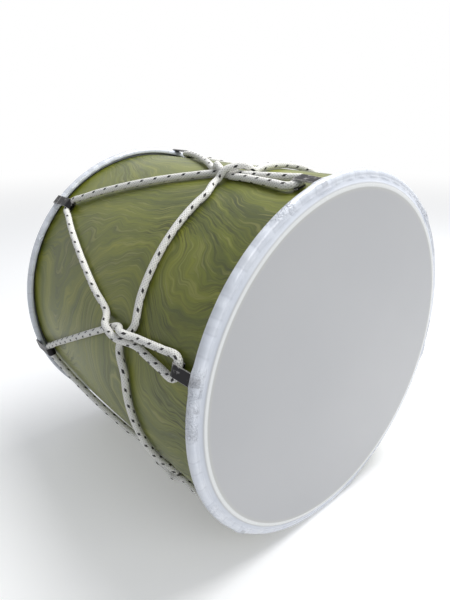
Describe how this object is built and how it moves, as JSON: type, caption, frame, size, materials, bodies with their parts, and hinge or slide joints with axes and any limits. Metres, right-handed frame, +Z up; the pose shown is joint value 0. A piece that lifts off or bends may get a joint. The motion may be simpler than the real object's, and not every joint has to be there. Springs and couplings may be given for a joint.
{
  "type": "caucasian drum",
  "caption": "Double-headed cylindrical drum lying on its side, with film heads on steel rings, flat hooks, a zigzag rope lacing and a belt rope.",
  "frame": {"origin": "on the floor under the middle of the drum, which lies on its side", "axes": "+Z up; the drum's axis runs along Y, with the front head towards -Y; +X to the right seen from the front head"},
  "size_m": [0.3463, 0.318, 0.3455],
  "materials": {
    "green_stained_wood": "lacquered burl veneer, stained olive green",
    "plain_wood": "bare",
    "white_film": "satin",
    "ring_steel": "bright",
    "black_steel": "blackened, bare at the edges",
    "white_rope": "white braid with dark flecks"
  },
  "bodies": {
    "root": {"shell": "green_stained_wood", "front_band": "plain_wood", "rear_band": "plain_wood", "front_ring": "ring_steel", "rear_ring": "ring_steel", "front_head": "white_film", "rear_head": "white_film", "lacing_rope": "white_rope", "lacing_knot": "white_rope", "belt_rope": "white_rope", "belt_knot": "white_rope", "front_hook_1": "black_steel", "front_hook_2": "black_steel", "front_hook_3": "black_steel", "front_hook_4": "black_steel", "front_hook_5": "black_steel", "front_hook_6": "black_steel", "rear_hook_1": "black_steel", "rear_hook_2": "black_steel", "rear_hook_3": "black_steel", "rear_hook_4": "black_steel", "rear_hook_5": "black_steel", "rear_hook_6": "black_steel"}
  },
  "joints": []
}
